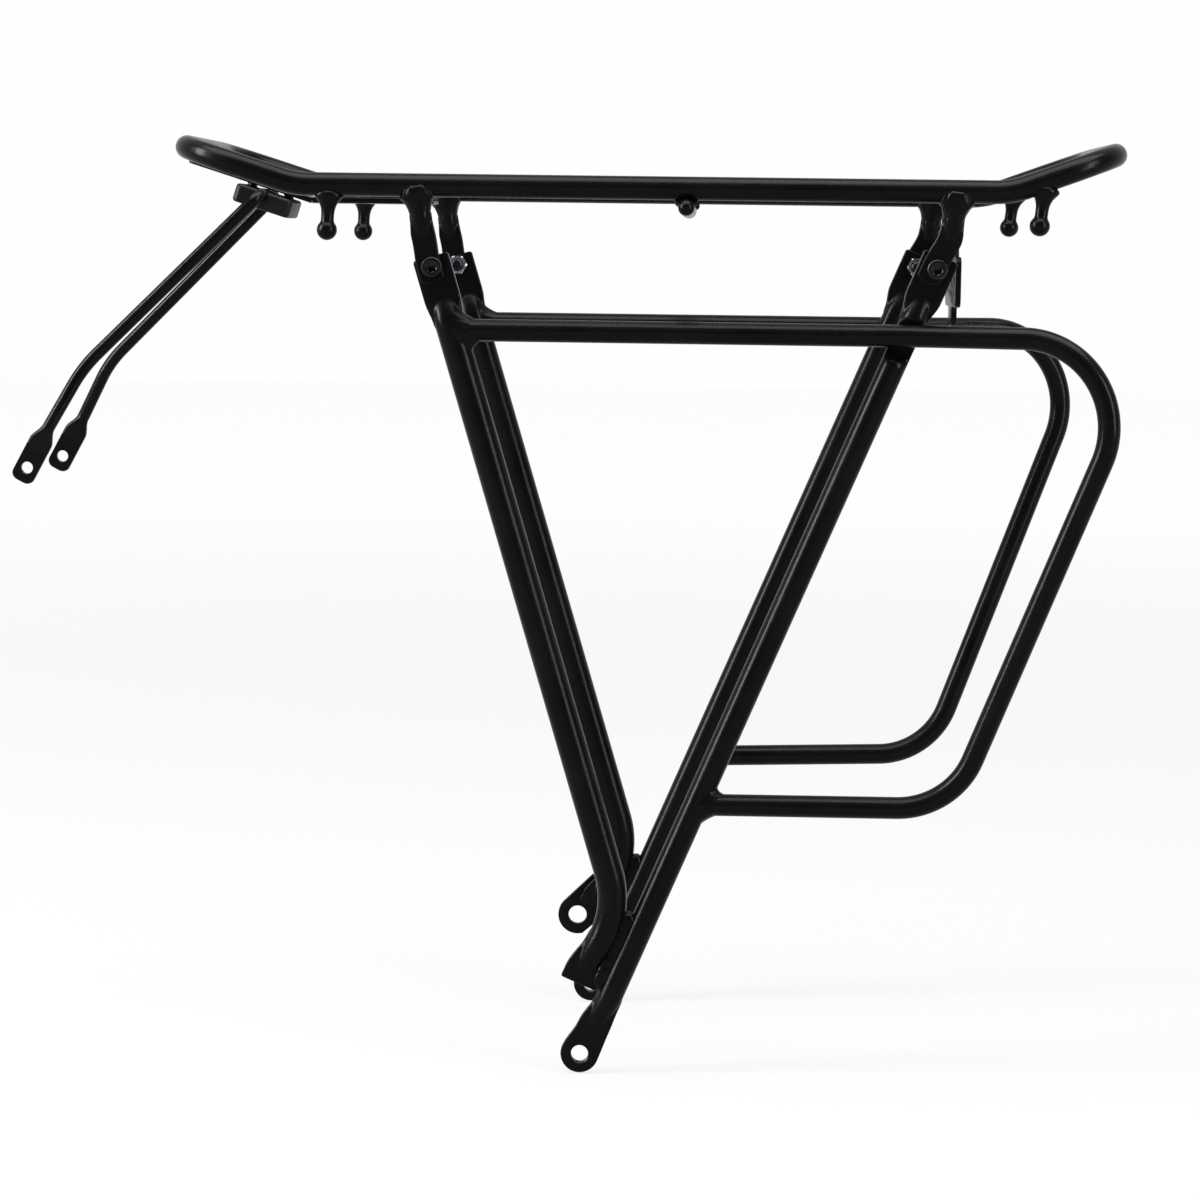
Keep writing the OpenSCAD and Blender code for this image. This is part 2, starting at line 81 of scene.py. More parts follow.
LEG_Y = 70.5
REAR_R, FRONT_R = 5.5, 6.35
REAR_LEAN, FRONT_LEAN = math.radians(23), math.radians(16.7)
FRONT_BOLT, REAR_BOLT = (-66.3, 339.7), (147.0, 341.2)
FLAT_W, FLAT_T = 15.6, 4.0
REAR_X0 = REAR_BOLT[0] - REAR_BOLT[1] * math.tan(REAR_LEAN)
FRONT_FOOT_X0 = REAR_X0 - 13.2 / math.cos(REAR_LEAN)
FRONT_X0 = FRONT_BOLT[0] + FRONT_BOLT[1] * math.tan(FRONT_LEAN)
KNEE_Z = (FRONT_X0 - FRONT_FOOT_X0) / (math.tan(REAR_LEAN) + math.tan(FRONT_LEAN))
KNEE = Vector((FRONT_FOOT_X0 + KNEE_Z * math.tan(REAR_LEAN), -LEG_Y, KNEE_Z))
KNEE_BEND = 40.0
REAR_UP = Vector((math.sin(REAR_LEAN), 0, math.cos(REAR_LEAN)))
FRONT_UP = Vector((-math.sin(FRONT_LEAN), 0, math.cos(FRONT_LEAN)))
STUB_R = 4.5

HOOP_R = 4.75
HOOP_TOP_Z, HOOP_LOW_Z = 313.1, 110.2
HOOP_PATH = (
    (FRONT_BOLT[0] + (FRONT_BOLT[1] - HOOP_TOP_Z) * math.tan(FRONT_LEAN), -71.5, HOOP_TOP_Z),
    (138, -75.5, HOOP_TOP_Z),
    (235.3, -107.5, HOOP_TOP_Z),
    (158.2, -79.5, HOOP_LOW_Z + 1.6),
    (REAR_X0 + HOOP_LOW_Z * math.tan(REAR_LEAN), -LEG_Y, HOOP_LOW_Z),
)
HOOP_BENDS = (0, 60, 37, 35, 0)

PIVOT = Vector((-146.504, 0, 369.98))
STAY_R = 2.8
STAY_TOP_Y, STAY_KINK_Y, STAY_EYE_Y = 24.2, 33.0, 40.8
STAY_KINK = PIVOT + Vector((-76.8, -STAY_KINK_Y, -76.6))
STAY_EYE = PIVOT + Vector((-100.0, -STAY_EYE_Y, -120.4))


# ------------------------------------------------------------------- meshes


class Shell:
    """Vertices and faces of one piece, gathered before its mesh is made."""

    def __init__(self):
        self.verts = []
        self.faces = []

    def rings(self, rings, closed=False, start_cap=True, end_cap=True):
        """Joins equal rings of points into a skin, with a fan at each end."""
        first = len(self.verts)
        n = len(rings[0])
        for ring in rings:
            self.verts.extend(ring)
        count = len(rings)
        for i in range(count if closed else count - 1):
            a = first + i * n
            b = first + ((i + 1) % count) * n
            for k in range(n):
                j = (k + 1) % n
                self.faces.append((a + k, a + j, b + j, b + k))
        if closed:
            return
        for cap, ring, base in (
            (start_cap, rings[0], first),
            (end_cap, rings[-1], first + (count - 1) * n),
        ):
            if cap:
                centre = sum(ring, Vector()) / n
                self.verts.append(centre)
                c = len(self.verts) - 1
                for k in range(n):
                    self.faces.append((base + k, base + (k + 1) % n, c))


def make_object(name, shell, side=1, sharp=35):
    """A mesh object from a shell, in metres, with crisp edges over an angle."""
    mesh = bpy.data.meshes.new(name)
    mesh.from_pydata(
        [Vector((v[0], v[1] * side, v[2])) * MM for v in shell.verts], [], shell.faces
    )
    bm = bmesh.new()
    bm.from_mesh(mesh)
    bmesh.ops.recalc_face_normals(bm, faces=bm.faces)
    bm.to_mesh(mesh)
    bm.free()
    mesh.shade_smooth()
    mesh.set_sharp_from_angle(angle=math.radians(sharp))
    obj = bpy.data.objects.new(name, mesh)
    bpy.context.scene.collection.objects.link(obj)
    return obj


def finish_piece(obj, material, body, slot, *nodes):
    """Gives a piece its material and its place in the frame."""
    obj.data.materials.clear()
    obj.data.materials.append(material)
    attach(obj, body)
    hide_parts(*nodes)
    return obj


def ring_shape(a, b, c, n):
    """Evenly spaced points round a rounded rectangle, half sizes a and b."""
    c = max(min(c, a, b), 1e-4)
    quarter = (b - c) + (a - c) + c * math.pi / 2

    def first_quarter(s):
        if s < b - c:
            return a, s
        s -= b - c
        if s < c * math.pi / 2:
            return a - c + c * math.cos(s / c), b - c + c * math.sin(s / c)
        return a - c - (s - c * math.pi / 2), b

    points = []
    for k in range(n):
        q, t = divmod(4.0 * k / n, 1)
        q = int(q)
        s = t * quarter
        x, y = first_quarter(quarter - s if q % 2 else s)
        points.append((x if q in (0, 3) else -x, y if q in (0, 1) else -y))
    return points


def bent_path(points, bends, closed=False, step=4.0, turn_step=3.0):
    """Samples of a centre line with rounded corners: (point, direction)."""
    points = [Vector(p) for p in points]
    n = len(points)
    legs = n if closed else n - 1
    out = []
    cuts = []
    for i in range(n):
        if bends[i] == 0:
            cuts.append(0.0)
            continue
        u = (points[i] - points[i - 1]).normalized()
        v = (points[(i + 1) % n] - points[i]).normalized()
        cuts.append(bends[i] * math.tan(u.angle(v) / 2))
    for i in range(legs):
        a, b = points[i], points[(i + 1) % n]
        d = (b - a).normalized()
        start, end = a + d * cuts[i], b - d * cuts[(i + 1) % n]
        length = (end - start).length
        count = max(1, round(length / step))
        for k in range(count + 1):
            out.append((start.lerp(end, k / count), d))
        j = (i + 1) % n
        if bends[j] > 0:
            e = (points[(j + 1) % n] - points[j]).normalized()
            turn = d.angle(e)
            axis = d.cross(e).normalized()
            centre = end + axis.cross(d) * bends[j]
            arm = end - centre
            count = max(4, round(math.degrees(turn) / turn_step))
            for k in range(1, count):
                spin = Matrix.Rotation(turn * k / count, 3, axis)
                out.append((centre + spin @ arm, spin @ d))
    if closed and (out[-1][0] - out[0][0]).length < 1e-6:
        out.pop()
    return out


def sweep(shell, path, section, side_axis, n=64, closed=False, cap=True):
    """Skins a path with sections: section(s) gives half width, half thickness,
    corner radius, and offsets across and along the side axis, or the points
    of the section themselves."""
    b = Vector(side_axis)
    s = 0.0
    rings = []
    for i, (p, t) in enumerate(path):
        if i:
            s += (p - path[i - 1][0]).length
        b = (b - t * b.dot(t)).normalized()
        across = b.cross(t)
        shape = section(s)
        if not isinstance(shape, list):
            half_w, half_t, corner, off_a, off_b = shape
            ring = ring_shape(half_w, half_t, corner, n)
            shape = [(x + off_a, y + off_b) for x, y in ring]
        rings.append([p + across * x + b * y for x, y in shape])
    shell.rings(rings, closed, cap, cap)


def resample(path, extra):
    """Adds samples at the given distances along a path."""
    out = []
    s = 0.0
    extra = sorted(extra)
    for i, (p, t) in enumerate(path):
        if i:
            q, u = path[i - 1]
            d = (p - q).length
            for e in extra:
                if s + 0.02 < e < s + d - 0.02:
                    f = (e - s) / d
                    out.append((q.lerp(p, f), u.lerp(t, f).normalized()))
            s += d
        out.append((p, t))
    return out


def path_length(path):
    return sum((path[i][0] - path[i - 1][0]).length for i in range(1, len(path)))


def round_section(r):
    return lambda s: (r, r, r, 0, 0)


def ease(u):
    """From 0 to 1 with a quick start and a soft end."""
    u = min(max(u, 0.0), 1.0)
    return 1 - (1 - u) ** 1.7


def smooth(u):
    u = min(max(u, 0.0), 1.0)
    return u * u * (3 - 2 * u)


# Depth where a pressed outer face starts to flatten, and how softly it does
DENT_FROM, DENT_SOFT = 0.9, 0.6


def pressed_ring(r, half_w, half_t, u, n=88, shift=0.0, dent=0.0, off_b=0.0):
    """Section of a round tube pressed flat, from u=0 (flat, half_w by half_t)
    to u=1 (round, radius r). The round part grows from the middle like a
    fingertip between two flat wings. Dent, from 0 to 1, presses the outer
    face in."""
    u = min(max(u, 0.0), 1.0)
    bulge_w = r * (0.78 + 0.22 * smooth(u))
    bulge_h = half_t + (r - half_t) * ease(u)
    wing_w = half_w + (r - half_w) * smooth(u)
    wing_t = half_t * (1 - 0.9 * u**3)
    aspect = half_t / half_w
    aspect += (1 - aspect) * u
    points = []
    for k in range(n):
        a = 2 * math.pi * (k + 0.5) / n
        t = math.atan2(aspect * math.sin(a), math.cos(a))
        c, d = abs(math.cos(t)), abs(math.sin(t))
        wing = ((c / wing_w) ** 9 + (d / wing_t) ** 9) ** (-1 / 9)
        bulge = ((c / bulge_w) ** 2 + (d / bulge_h) ** 2) ** -0.5
        rho = (wing**12 + bulge**12) ** (1 / 12) if 0 < u < 1 else (bulge if u >= 1 else wing)
        x, y = rho * math.cos(t), rho * math.sin(t)
        if dent and y < -DENT_FROM:
            flat = -DENT_FROM - DENT_SOFT * math.tanh((-y - DENT_FROM) / DENT_SOFT)
            y += (flat - y) * dent
        points.append((x + shift, y + off_b))
    return points


def rounded_end(half_w, half_t, away, corner):
    """Shrinks a section near a cut end, at a distance from it."""
    if away < corner:
        half_w -= corner - math.sqrt(max(corner**2 - (corner - away) ** 2, 0))
    edge = 0.45
    if away < edge:
        half_t -= edge - math.sqrt(max(edge**2 - (edge - away) ** 2, 0))
    return half_w, half_t


def spool(shell, profile, origin, axis, n=48, ripple=None):
    """A body of revolution: profile of (distance along axis, radius)."""
    axis = Vector(axis).normalized()
    u = axis.orthogonal().normalized()
    v = axis.cross(u)
    rings = []
    for h, r in profile:
        ring = []
        for k in range(n):
            a = 2 * math.pi * k / n
            rr = r * (1 + (ripple(a, h) if ripple else 0))
            ring.append(Vector(origin) + axis * h + (u * math.cos(a) + v * math.sin(a)) * rr)
        rings.append(ring)
    shell.rings(rings)


def drill(obj, centre, axis, radius, depth, chamfer=0.45):
    """Cuts a through hole with a small chamfer at both faces of a plate of
    the given thickness."""
    cutter = Shell()
    h = depth / 2
    profile = [
        (-h - 3, radius + chamfer + 3),
        (-h + chamfer, radius),
        (h - chamfer, radius),
        (h + 3, radius + chamfer + 3),
    ]
    spool(cutter, profile, centre, axis, n=56)
    tool = make_object("cutter", cutter)
    cut = obj.modifiers.new("hole", "BOOLEAN")
    cut.operation = "DIFFERENCE"
    cut.solver = "EXACT"
    cut.object = tool
    apply_modifiers(obj)
    bpy.data.objects.remove(tool)


def apply_modifiers(obj, sharp=35):
    graph = bpy.context.evaluated_depsgraph_get()
    mesh = bpy.data.meshes.new_from_object(obj.evaluated_get(graph))
    old = obj.data
    obj.modifiers.clear()
    obj.data = mesh
    bpy.data.meshes.remove(old)
    mesh.shade_smooth()
    mesh.set_sharp_from_angle(angle=math.radians(sharp))


def collar(shell, p, d, r, q, e, big_r,
           leg=2.4, spread=2.2, fill=0.8, seed=0.0, ripple=0.04, steps=96):
    """A weld bead round a branch tube (point p, direction d away from the
    main tube, radius r) where it meets a main tube (point q, direction e)."""
    p, d, q, e = Vector(p), Vector(d).normalized(), Vector(q), Vector(e).normalized()
    u = d.orthogonal().normalized()
    v = d.cross(u)
    rings = []
    for k in range(steps):
        a = 2 * math.pi * k / steps
        nb = u * math.cos(a) + v * math.sin(a)
        s0 = p + nb * r
        w = (s0 - q) - e * (s0 - q).dot(e)
        g = d - e * d.dot(e)
        aa, bb, cc = g.dot(g), 2 * w.dot(g), w.dot(w) - big_r**2
        disc = bb * bb - 4 * aa * cc
        t = (-bb + math.sqrt(max(disc, 0))) / (2 * aa)
        p0 = s0 + d * t
        nm = (p0 - q) - e * (p0 - q).dot(e)
        nm.normalize()
        out = nb - d
        out = (out - nm * out.dot(nm)).normalized()
        wob = noise.noise(Vector((math.cos(a) * 2, math.sin(a) * 2, seed)))
        scale = 1 + ripple * math.sin(a * round(r * 3.2)) + 0.14 * wob
        top = p0 + d * leg * scale - nb * 0.25
        low = p0 + out * spread * scale
        low = q + e * (low - q).dot(e) + (
            (low - q) - e * (low - q).dot(e)
        ).normalized() * (big_r - 0.25)
        mid = p0 + (nb + nm).normalized() * fill * scale
        ring = []
        for f in (0, 0.2, 0.4, 0.6, 0.8, 1.0):
            ring.append(top * (1 - f) ** 2 + mid * 2 * f * (1 - f) + low * f * f)
        ring.append(p0 - (nb + nm).normalized() * 1.0)
        rings.append(ring)
    shell.rings(rings, closed=True)


def bead(shell, points, r, side_axis=(0, 1, 0), seed=0.0, ripple=0.1, squash=1.0):
    """A weld run along points: a lumpy half-sunk rod with rounded ends."""
    path = bent_path(points, [0] * len(points), step=0.5)
    length = path_length(path)

    def section(s):
        end = min(s, length - s)
        grow = math.sqrt(max(1 - (1 - min(end / (r * 1.3), 1)) ** 2, 0.0004))
        wave = 1 + ripple * math.sin(s * 3.4) + 0.14 * noise.noise(Vector((s * 0.5, seed, 1)))
        rr = r * grow * wave
        return rr, rr * squash, rr * squash, 0, 0

    sweep(shell, path, section, side_axis, n=20)


# ---------------------------------------------------------------- materials


class Nodes:
    """A small helper that builds a material's node tree."""

    def __init__(self, name):
        self.material = bpy.data.materials.new(name)
        self.material.use_nodes = True
        self.tree = self.material.node_tree
        self.shader = self.tree.nodes["Principled BSDF"]
        self.coords = self.tree.nodes.new("ShaderNodeTexCoord")

    def add(self, kind, **values):
        node = self.tree.nodes.new(kind)
        for key, value in values.items():
            if key in node.inputs:
                node.inputs[key].default_value = value
            else:
                setattr(node, key, value)
        return node

    def link(self, a, b):
        self.tree.links.new(a, b)

    def grain(self, scale, detail=3.0, stretch=(1, 1, 1)):
        """Noise in object space, in cycles per metre."""
        mapping = self.add("ShaderNodeMapping")
        mapping.inputs["Scale"].default_value = stretch
        self.link(self.coords.outputs["Object"], mapping.inputs["Vector"])
        tex = self.add("ShaderNodeTexNoise", Scale=scale, Detail=detail)
        self.link(mapping.outputs["Vector"], tex.inputs["Vector"])
        return tex.outputs["Fac"]

    def ramp(self, source, stops):
        node = self.add("ShaderNodeValToRGB")
        elements = node.color_ramp.elements
        while len(elements) < len(stops):
            elements.new(0.5)
        for element, (place, colour) in zip(elements, stops):
            element.position = place
            element.color = (*colour, 1) if len(colour) == 3 else colour
        self.link(source, node.inputs["Fac"])
        return node.outputs["Color"]

    def span(self, source, low, high):
        node = self.add("ShaderNodeMapRange")
        node.inputs["To Min"].default_value = low
        node.inputs["To Max"].default_value = high
        self.link(source, node.inputs["Value"])
        return node.outputs["Result"]

    def bump(self, layers):
        """Chains bumps: (height source, strength, distance in metres)."""
        last = None
        for source, strength, distance in layers:
            node = self.add("ShaderNodeBump", Strength=strength, Distance=distance)
            self.link(source, node.inputs["Height"])
            if last:
                self.link(last, node.inputs["Normal"])
            last = node.outputs["Normal"]
        self.link(last, self.shader.inputs["Normal"])


def coat_material(name, dark, light, rough, gloss):
    """Black powder coat: soft orange peel, fine pits, faint dust and scuffs."""
    m = Nodes(name)
    peel = m.grain(420, 2.0)
    pits = m.grain(2600, 2.0)
    cloud = m.grain(38, 4.0)
    scuff = m.grain(150, 6.0, (1, 1, 0.2))
    colour = m.ramp(cloud, [(0.3, dark), (0.75, light)])
    m.link(colour, m.shader.inputs["Base Color"])
    mix = m.add("ShaderNodeMath", operation="MULTIPLY")
    m.link(m.span(cloud, 0.86, 1.16), mix.inputs[0])
    m.link(m.span(scuff, rough * 0.85, rough * 1.2), mix.inputs[1])
    m.link(mix.outputs[0], m.shader.inputs["Roughness"])
    m.shader.inputs["Specular IOR Level"].default_value = gloss
    m.bump([(peel, 0.16, 0.0004), (pits, 0.08, 0.0001)])
    return m.material


def metal_material(name, dark, light, rough, plated=False):
    m = Nodes(name)
    cloud = m.grain(260, 4.0)
    fine = m.grain(3200, 3.0)
    m.link(m.ramp(cloud, [(0.3, dark), (0.7, light)]), m.shader.inputs["Base Color"])
    m.link(m.span(fine, rough * 0.8, rough * 1.25), m.shader.inputs["Roughness"])
    m.shader.inputs["Metallic"].default_value = 1.0
    m.bump([(fine, 0.12 if plated else 0.2, 0.00006)])
    return m.material


FRAME_COAT = coat_material(
    "frame_black_coat", (0.0012, 0.0012, 0.0015), (0.0026, 0.0026, 0.0031), 0.25, 0.06
)
STAY_COAT = coat_material(
    "stay_black_coat", (0.0013, 0.0013, 0.0016), (0.0028, 0.0028, 0.0033), 0.22, 0.07
)
CLAMP_COAT = coat_material(
    "clamp_grey_coat", (0.0035, 0.0035, 0.004), (0.0065, 0.0065, 0.0073), 0.4, 0.1
)
SCREW_STEEL = metal_material("black_oxide", (0.012, 0.012, 0.013), (0.026, 0.026, 0.028), 0.33)
ZINC = metal_material("zinc_plate", (0.24, 0.245, 0.255), (0.4, 0.405, 0.42), 0.25, True)
# A darker, rougher copy of the zinc plate: painted shade for the clamp screws, which sit in shade
# between the tongue and the tube.
PAINTED_SHADE_ZINC = metal_material("zinc_painted_shade", (0.05, 0.05, 0.053), (0.09, 0.09, 0.094), 0.45, True)


# --------------------------------------------------------------------- deck


def deck_loop():
    half = [
        (REAR_END_X, -RAIL_Y, REAR_END_Z),
        (REAR_BEND_X, -RAIL_Y, DECK_Z),
        (FRONT_BEND_X, -RAIL_Y, DECK_Z),
        (FRONT_END_X, -RAIL_Y, FRONT_END_Z),
    ]
    other = [(x, -y, z) for x, y, z in reversed(half)]
    bends = [CORNER_R, RISE_R, RISE_R, CORNER_R]
    path = bent_path(half + other, bends + bends[::-1], closed=True)
    shell = Shell()
    sweep(shell, path, round_section(RAIL_R), Z, n=64, closed=True)
    obj = make_object("deck_loop_tube", shell)
    finish_piece(obj, FRAME_COAT, "rack", "frame_coat", "deck_loop")


def inner_rung(name, x):
    shell = Shell()
    path = bent_path([(x, -RAIL_Y + 2, RUNG_Z), (x, RAIL_Y - 2, RUNG_Z)], (0, 0))
    sweep(shell, path, round_section(RUNG_R), X, n=48)
    for side in (-1, 1):
        collar(
            shell,
            (x, side * (RAIL_Y - 8), RUNG_Z),
            (0, -side, 0),
            RUNG_R,
            (x, side * RAIL_Y, DECK_Z),
            X,
            RAIL_R,
            leg=2.2,
            spread=1.8,
            seed=x + side,
        )
    obj = make_object(name + "_rod", shell)
    finish_piece(obj, FRAME_COAT, "rack", "frame_coat", name)


def middle_rung():
    shell = Shell()
    x = RUNG_X[1]
    end_y = RAIL_Y + 5 + RUNG_R
    path = bent_path([(x, -end_y, LOW_RUNG_Z), (x, end_y, LOW_RUNG_Z)], (0, 0), step=3)
    length = 2 * end_y
    dome = [RUNG_R * (1 - math.cos(math.radians(a))) for a in range(4, 90, 7)]
    path = resample(path, dome + [length - s for s in dome])

    def section(s):
        end = min(s, length - s)
        r = RUNG_R
        if end < RUNG_R:
            r = math.sqrt(max(RUNG_R**2 - (RUNG_R - end) ** 2, 0.0004))
        return r, r, r, 0, 0

    sweep(shell, path, section, X, n=48)
    for side in (-1, 1):
        for dx in (-1, 1):
            z = DECK_Z - RAIL_R - 0.6
            y = side * RAIL_Y
            bead(
                shell,
                [(x + dx * 2.9, y - 2.6, z - 0.2), (x + dx * 3.2, y + 2.6, z - 0.2)],
                1.9,
                seed=dx + side,
                ripple=0.04,
            )
    obj = make_object("middle_rung_rod", shell)
    finish_piece(obj, FRAME_COAT, "rack", "frame_coat", "middle_rung")


def saddle(shell, place, down, rows, lumps=0.0, seed=0.0):
    """A rod hung from a rail, flared into a weld at its top. Each row is a
    distance below the rail's centre line and the half widths across the
    rail and along it."""
    along = Y.cross(down).normalized()
    rings = []
    for h, half_y, half_x in rows:
        near = smooth(1.4 - abs(h - 2.0) / 5)
        square = 2 / (2 + 1.3 * near) if lumps else 1.0
        ring = []
        for k in range(96):
            a = 2 * math.pi * k / 96
            c, s = math.cos(a), math.sin(a)
            grow = 1 + lumps * 0.7 * near * math.sin(11 * a + 0.25 * h + seed)
            grow += lumps * noise.noise(Vector((2.5 * c + seed, 2.5 * s, h * 0.35)))
            x = math.copysign(abs(c) ** square, c) * half_x * grow
            y = math.copysign(abs(s) ** square, s) * half_y * grow
            ring.append(place + down * h + along * x + Y * y)
        rings.append(ring)
    shell.rings(rings)


def peg(name, x, lean, at_rear, side):
    """A pin with a ball end, for an elastic cord."""
    z = DECK_Z + (x - REAR_BEND_X) * math.tan(REAR_RISE) if at_rear else DECK_Z
    down = Vector((-math.sin(math.radians(lean)), 0, -math.cos(math.radians(lean))))
    neck, ball, drop = 2.75, 4.3, 19.3
    rows = [
        (2.0, 3.4, 3.6),
        (3.0, 4.5, 5.0),
        (4.0, 4.9, 6.1),
        (5.0, 4.9, 6.3),
        (5.8, 4.6, 5.7),
        (6.8, 4.1, 4.8),
        (8.0, 3.55, 3.9),
        (9.5, 3.1, 3.25),
        (11.0, 2.85, 2.88),
        (12.6, neck, neck),
    ]
    meet = drop - math.sqrt(ball**2 - neck**2)
    rows += [(meet - 0.9, neck, neck), (meet - 0.35, neck + 0.1, neck + 0.1)]
    start = math.degrees(math.asin(neck / ball)) + 8
    for i in range(20):
        a = math.radians(start + (179.2 - start) * i / 19)
        r = ball * math.sin(a)
        rows.append((drop - ball * math.cos(a), r, r))
    shell = Shell()
    saddle(shell, Vector((x, -RAIL_Y, z)), down, rows)
    obj = make_object(name + "_pin", shell, -side)
    finish_piece(obj, FRAME_COAT, "rack", "frame_coat", name)


def rail_weld(shell, top, down, seed):
    """A lumpy fillet that wraps the rail over the top of a stub."""
    place = top + down * ((top.z - DECK_Z) / -down.z)
    place.y = -RAIL_Y
    rows = (
        (-0.6, 3.2, 2.4),
        (-0.1, 4.7, 4.0),
        (0.5, 5.4, 5.0),
        (1.4, 5.75, 5.7),
        (2.6, 5.85, 6.4),
        (4.0, 5.65, 7.2),
        (5.0, 5.4, 7.6),
        (5.8, 5.15, 7.0),
        (6.8, 4.95, 6.2),
        (8.0, 4.8, 5.6),
        (9.6, 4.65, 5.0),
        (11.4, 4.52, 4.6),
        (12.6, 4.2, 4.2),
    )
    saddle(shell, place, down, rows, 0.045, seed)


def stub(name, bolt, lean, rise_lean, side):
    """A short tube under the rail, pressed to a tab at its lower end."""
    half, end_r, shift, bend_s = 5.2, 7.2, -1.4, 14.5
    flat_to, round_from = 13.5, 23.0
    up = Vector((math.sin(lean), 0, math.cos(lean)))
    y = -LEG_Y - FLAT_T
    start = Vector((bolt[0], y, bolt[1]))
    bend = start + up * bend_s
    rise = DECK_Z - 3.5 - bend.z
    top = bend + Vector((rise * math.tan(rise_lean), 0, rise))
    path = bent_path([start - up * (end_r - 0.02), bend, top], (0, 14, 0), step=0.8)
    path = resample(path, [end_r * (1 - math.cos(math.radians(a))) for a in range(5, 60, 5)])

    def section(s):
        d = s - end_r
        u = (d - flat_to) / (round_from - flat_to)
        w, t = half, FLAT_T / 2
        if d < 0:
            w = min(half, math.sqrt(max(end_r**2 - d**2, 0.01)))
        if s < 0.5:
            t -= 0.5 - math.sqrt(max(0.25 - (0.5 - s) ** 2, 0))
        lean_in = shift * (1 - smooth(d / bend_s))
        return pressed_ring(STUB_R, w, t, u, shift=lean_in, off_b=-0.5 * smooth(u))

    shell = Shell()
    sweep(shell, path, section, Y)
    rail_weld(shell, top, (bend - top).normalized(), bolt[0])
    obj = make_object(name + "_tube", shell, -side)
    drill(obj, (bolt[0], y * -side, bolt[1]), Y, 2.7, FLAT_T, 0.2)
    finish_piece(obj, FRAME_COAT, "rack", "frame_coat", name)


# -------------------------------------------------------------- side frames


def front_leg(name, side):
    """The front leg: pressed tab above, knee and pressed foot below."""
    above, flat_len, ramp = 4.5, 12.0, 12.0
    foot_w, foot_shift = 16.8, -1.6
    foot_len, foot_flat, foot_ramp = (38.7, 5.0, 18.0) if side < 0 else (32.5, 4.0, 14.0)
    foot = KNEE - REAR_UP * foot_len
    top = Vector((FRONT_BOLT[0], -LEG_Y, FRONT_BOLT[1])) + FRONT_UP * above
    path = bent_path([foot, KNEE, top], (0, KNEE_BEND, 0), step=1.5)
    length = path_length(path)
    fine = [0.06, 0.15, 0.3, 0.45, 0.8, 1.2]
    path = resample(path, fine + [length - s for s in fine])

    def section(s):
        down = length - s
        w, t = FLAT_W / 2, FLAT_T / 2
        if s < 60:
            u = (s - foot_flat) / foot_ramp
            w, t = rounded_end(foot_w / 2, t, s, 0.8)
            return pressed_ring(FRONT_R, w, t, u, shift=foot_shift * (1 - smooth(u)))
        u = (down - above - flat_len - 1.5) / ramp
        w, t = rounded_end(w, t, down, 1.3)
        return pressed_ring(FRONT_R, w, t, u)

    shell = Shell()
    sweep(shell, path, section, Y)
    foot_welds(shell, foot_len)
    obj = make_object(name + "_tube", shell, -side)
    drill(obj, (FRONT_BOLT[0], -LEG_Y * -side, FRONT_BOLT[1]), Y, 2.7, FLAT_T, 0.2)
    finish_piece(obj, FRAME_COAT, "rack", "frame_coat", name)


def foot_welds(shell, foot_len):
    """A broad weld run outside and inside joins the two legs' feet, with a
    bump where it starts and smaller ones lower down."""
    across = Vector((math.cos(REAR_LEAN), 0, -math.sin(REAR_LEAN)))
    middle = KNEE + across * (FRONT_R + 0.3)
    for y in (-1.5, 1.5):
        a = middle - REAR_UP * (foot_len - 1.2) + Y * y
        b = middle - REAR_UP * 1.0 + Y * y
        bead(shell, [a, b], 3.4, seed=y, ripple=0.02, squash=0.62)
    for drop, shift, r in ((1.0, -0.5, 2.5), (21.5, -0.2, 2.4), (29.0, -0.8, 1.8)):
        for y in (-2.1, 2.1):
            p = middle - REAR_UP * drop + across * shift + Y * y
            bead(shell, [p - REAR_UP * r, p + REAR_UP * r], r, seed=drop, ripple=0.0, squash=0.75)


